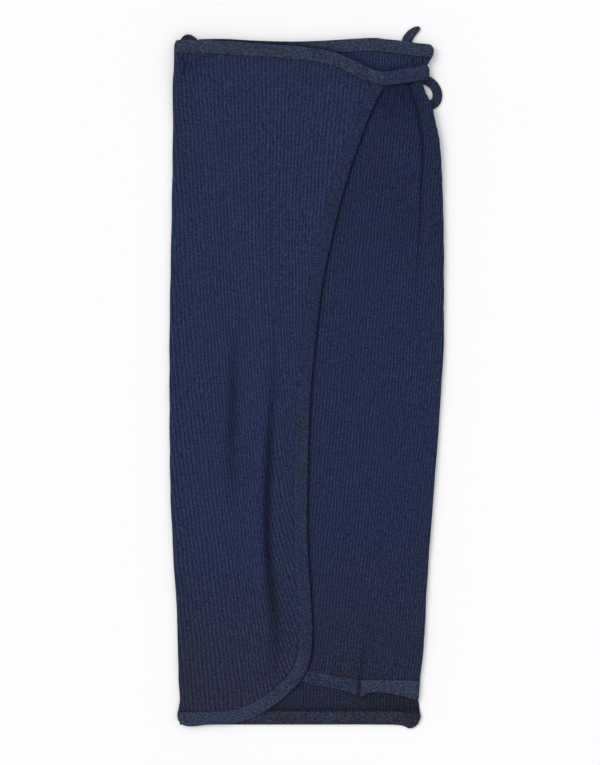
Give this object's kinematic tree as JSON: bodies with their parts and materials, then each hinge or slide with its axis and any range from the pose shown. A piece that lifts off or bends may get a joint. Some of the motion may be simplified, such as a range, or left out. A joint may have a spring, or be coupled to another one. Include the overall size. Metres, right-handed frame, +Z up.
{
  "type": "wrap skirt",
  "caption": "Ribbed-knit midi wrap skirt laid flat, with a curved overlapping front, plain bound edges and a tie at the side of the waist.",
  "frame": {"origin": "on the surface the skirt lies on, under the middle of its box", "axes": "+Y towards the waist, +X towards the side where it ties, +Z up out of the front"},
  "size_m": [0.3193, 0.8151, 0.0121],
  "materials": {
    "rib_knit": "soft navy rib knit, heathered and matt",
    "binding": "soft navy plain knit, folded double, matt"
  },
  "bodies": {
    "root": {"back_panel": "rib_knit", "under_panel": "rib_knit", "over_panel": "rib_knit", "back_waistband": "binding", "under_waistband": "binding", "over_waistband": "binding", "back_hem_band": "binding", "under_edge_band": "binding", "over_edge_band": "binding", "waist_tie": "binding", "tie_knot": "binding", "tie_loop": "binding", "tie_end": "binding", "under_tie": "binding", "under_tie_turn": "binding"}
  },
  "joints": []
}
